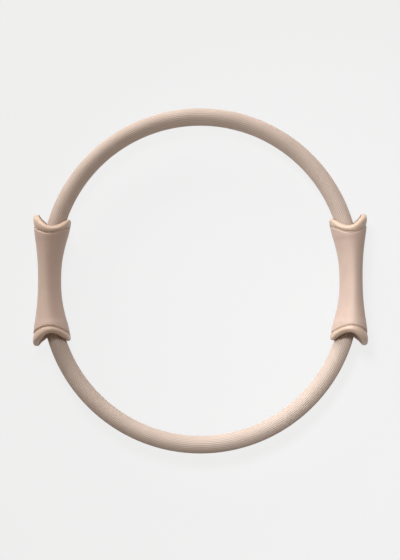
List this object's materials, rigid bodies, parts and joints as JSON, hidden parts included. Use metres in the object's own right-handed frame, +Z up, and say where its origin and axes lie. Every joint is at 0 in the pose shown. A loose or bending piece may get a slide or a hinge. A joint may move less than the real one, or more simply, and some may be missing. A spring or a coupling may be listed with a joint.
{
  "type": "pilates ring",
  "caption": "Springy racetrack-shaped exercise hoop in a ribbed rubber sleeve, with waisted, soft-covered handles with scooped beaded ends on opposite sides, squeezed or pulled apart.",
  "frame": {"origin": "centre of the ring, half way through its thickness", "axes": "the ring lies flat: +X from the left handle to the right one, +Y along the handles, +Z up along the ring's axis"},
  "size_m": [0.3666, 0.3796, 0.0598],
  "materials": {
    "sleeve_rubber": "matte, finely ribbed along its length",
    "cover_rubber": "soft-touch matte, fine grain",
    "shell_plastic": "satin moulded",
    "coupler_nylon": "moulded",
    "spring_steel": "tempered, blued",
    "fastener_steel": "zinc plated"
  },
  "bodies": {
    "left_handle_and_hoop": {"upper_sleeve": "sleeve_rubber", "lower_sleeve": "sleeve_rubber", "upper_outer_leaf": "spring_steel", "upper_inner_leaf": "spring_steel", "lower_outer_leaf": "spring_steel", "lower_inner_leaf": "spring_steel", "left_outer_shell": "shell_plastic", "left_inner_shell": "shell_plastic", "left_outer_cover": "cover_rubber", "left_inner_cover": "cover_rubber", "left_coupler": "coupler_nylon", "left_rivets": "fastener_steel", "left_shell_screws": "fastener_steel"},
    "right_handle": {"right_outer_shell": "shell_plastic", "right_inner_shell": "shell_plastic", "right_outer_cover": "cover_rubber", "right_inner_cover": "cover_rubber", "right_coupler": "coupler_nylon", "right_rivets": "fastener_steel", "right_shell_screws": "fastener_steel"}
  },
  "joints": [
    {"name": "squeeze", "type": "slide", "parent": "left_handle_and_hoop", "child": "right_handle", "axis": [-1, 0, 0], "range_m": [-0.02, 0.06], "stiffness_N_per_m": 1500, "deforming": ["upper_sleeve", "lower_sleeve", "upper_outer_leaf", "upper_inner_leaf", "lower_outer_leaf", "lower_inner_leaf"]}
  ]
}
